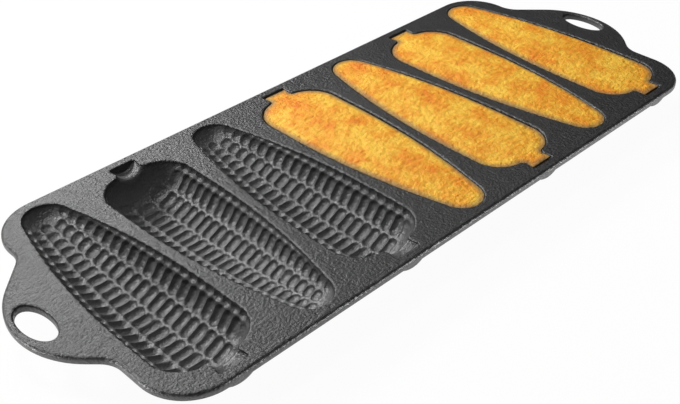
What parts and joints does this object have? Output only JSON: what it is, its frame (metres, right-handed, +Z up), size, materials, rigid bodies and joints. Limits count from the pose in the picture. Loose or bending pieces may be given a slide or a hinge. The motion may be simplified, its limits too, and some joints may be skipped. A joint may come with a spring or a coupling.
{
  "type": "corn stick pan",
  "caption": "Cast iron baking pan with a row of corn-cob moulds set head to tail in a flat deck with two eyed ears, part of them holding baked corn sticks.",
  "frame": {"origin": "under the middle of the pan, on the surface that it rests on", "axes": "+X along the row of moulds, +Y across it towards the far long edge, +Z up"},
  "size_m": [0.4, 0.1544, 0.0233],
  "materials": {
    "iron": "matte",
    "crumb": "matte"
  },
  "bodies": {
    "pan": {"deck": "iron", "mould_1": "iron", "mould_2": "iron", "mould_3": "iron", "mould_4": "iron", "mould_5": "iron", "mould_6": "iron", "mould_7": "iron"},
    "bake_4": {"stick_4": "crumb"},
    "bake_5": {"stick_5": "crumb"},
    "bake_6": {"stick_6": "crumb"},
    "bake_7": {"stick_7": "crumb"}
  },
  "joints": [
    {"name": "lift_4", "type": "slide", "parent": "pan", "child": "bake_4", "axis": [0, 0, 1], "range_m": [0, 0.06]},
    {"name": "lift_5", "type": "slide", "parent": "pan", "child": "bake_5", "axis": [0, 0, 1], "range_m": [0, 0.06]},
    {"name": "lift_6", "type": "slide", "parent": "pan", "child": "bake_6", "axis": [0, 0, 1], "range_m": [0, 0.06]},
    {"name": "lift_7", "type": "slide", "parent": "pan", "child": "bake_7", "axis": [0, 0, 1], "range_m": [0, 0.06]}
  ]
}
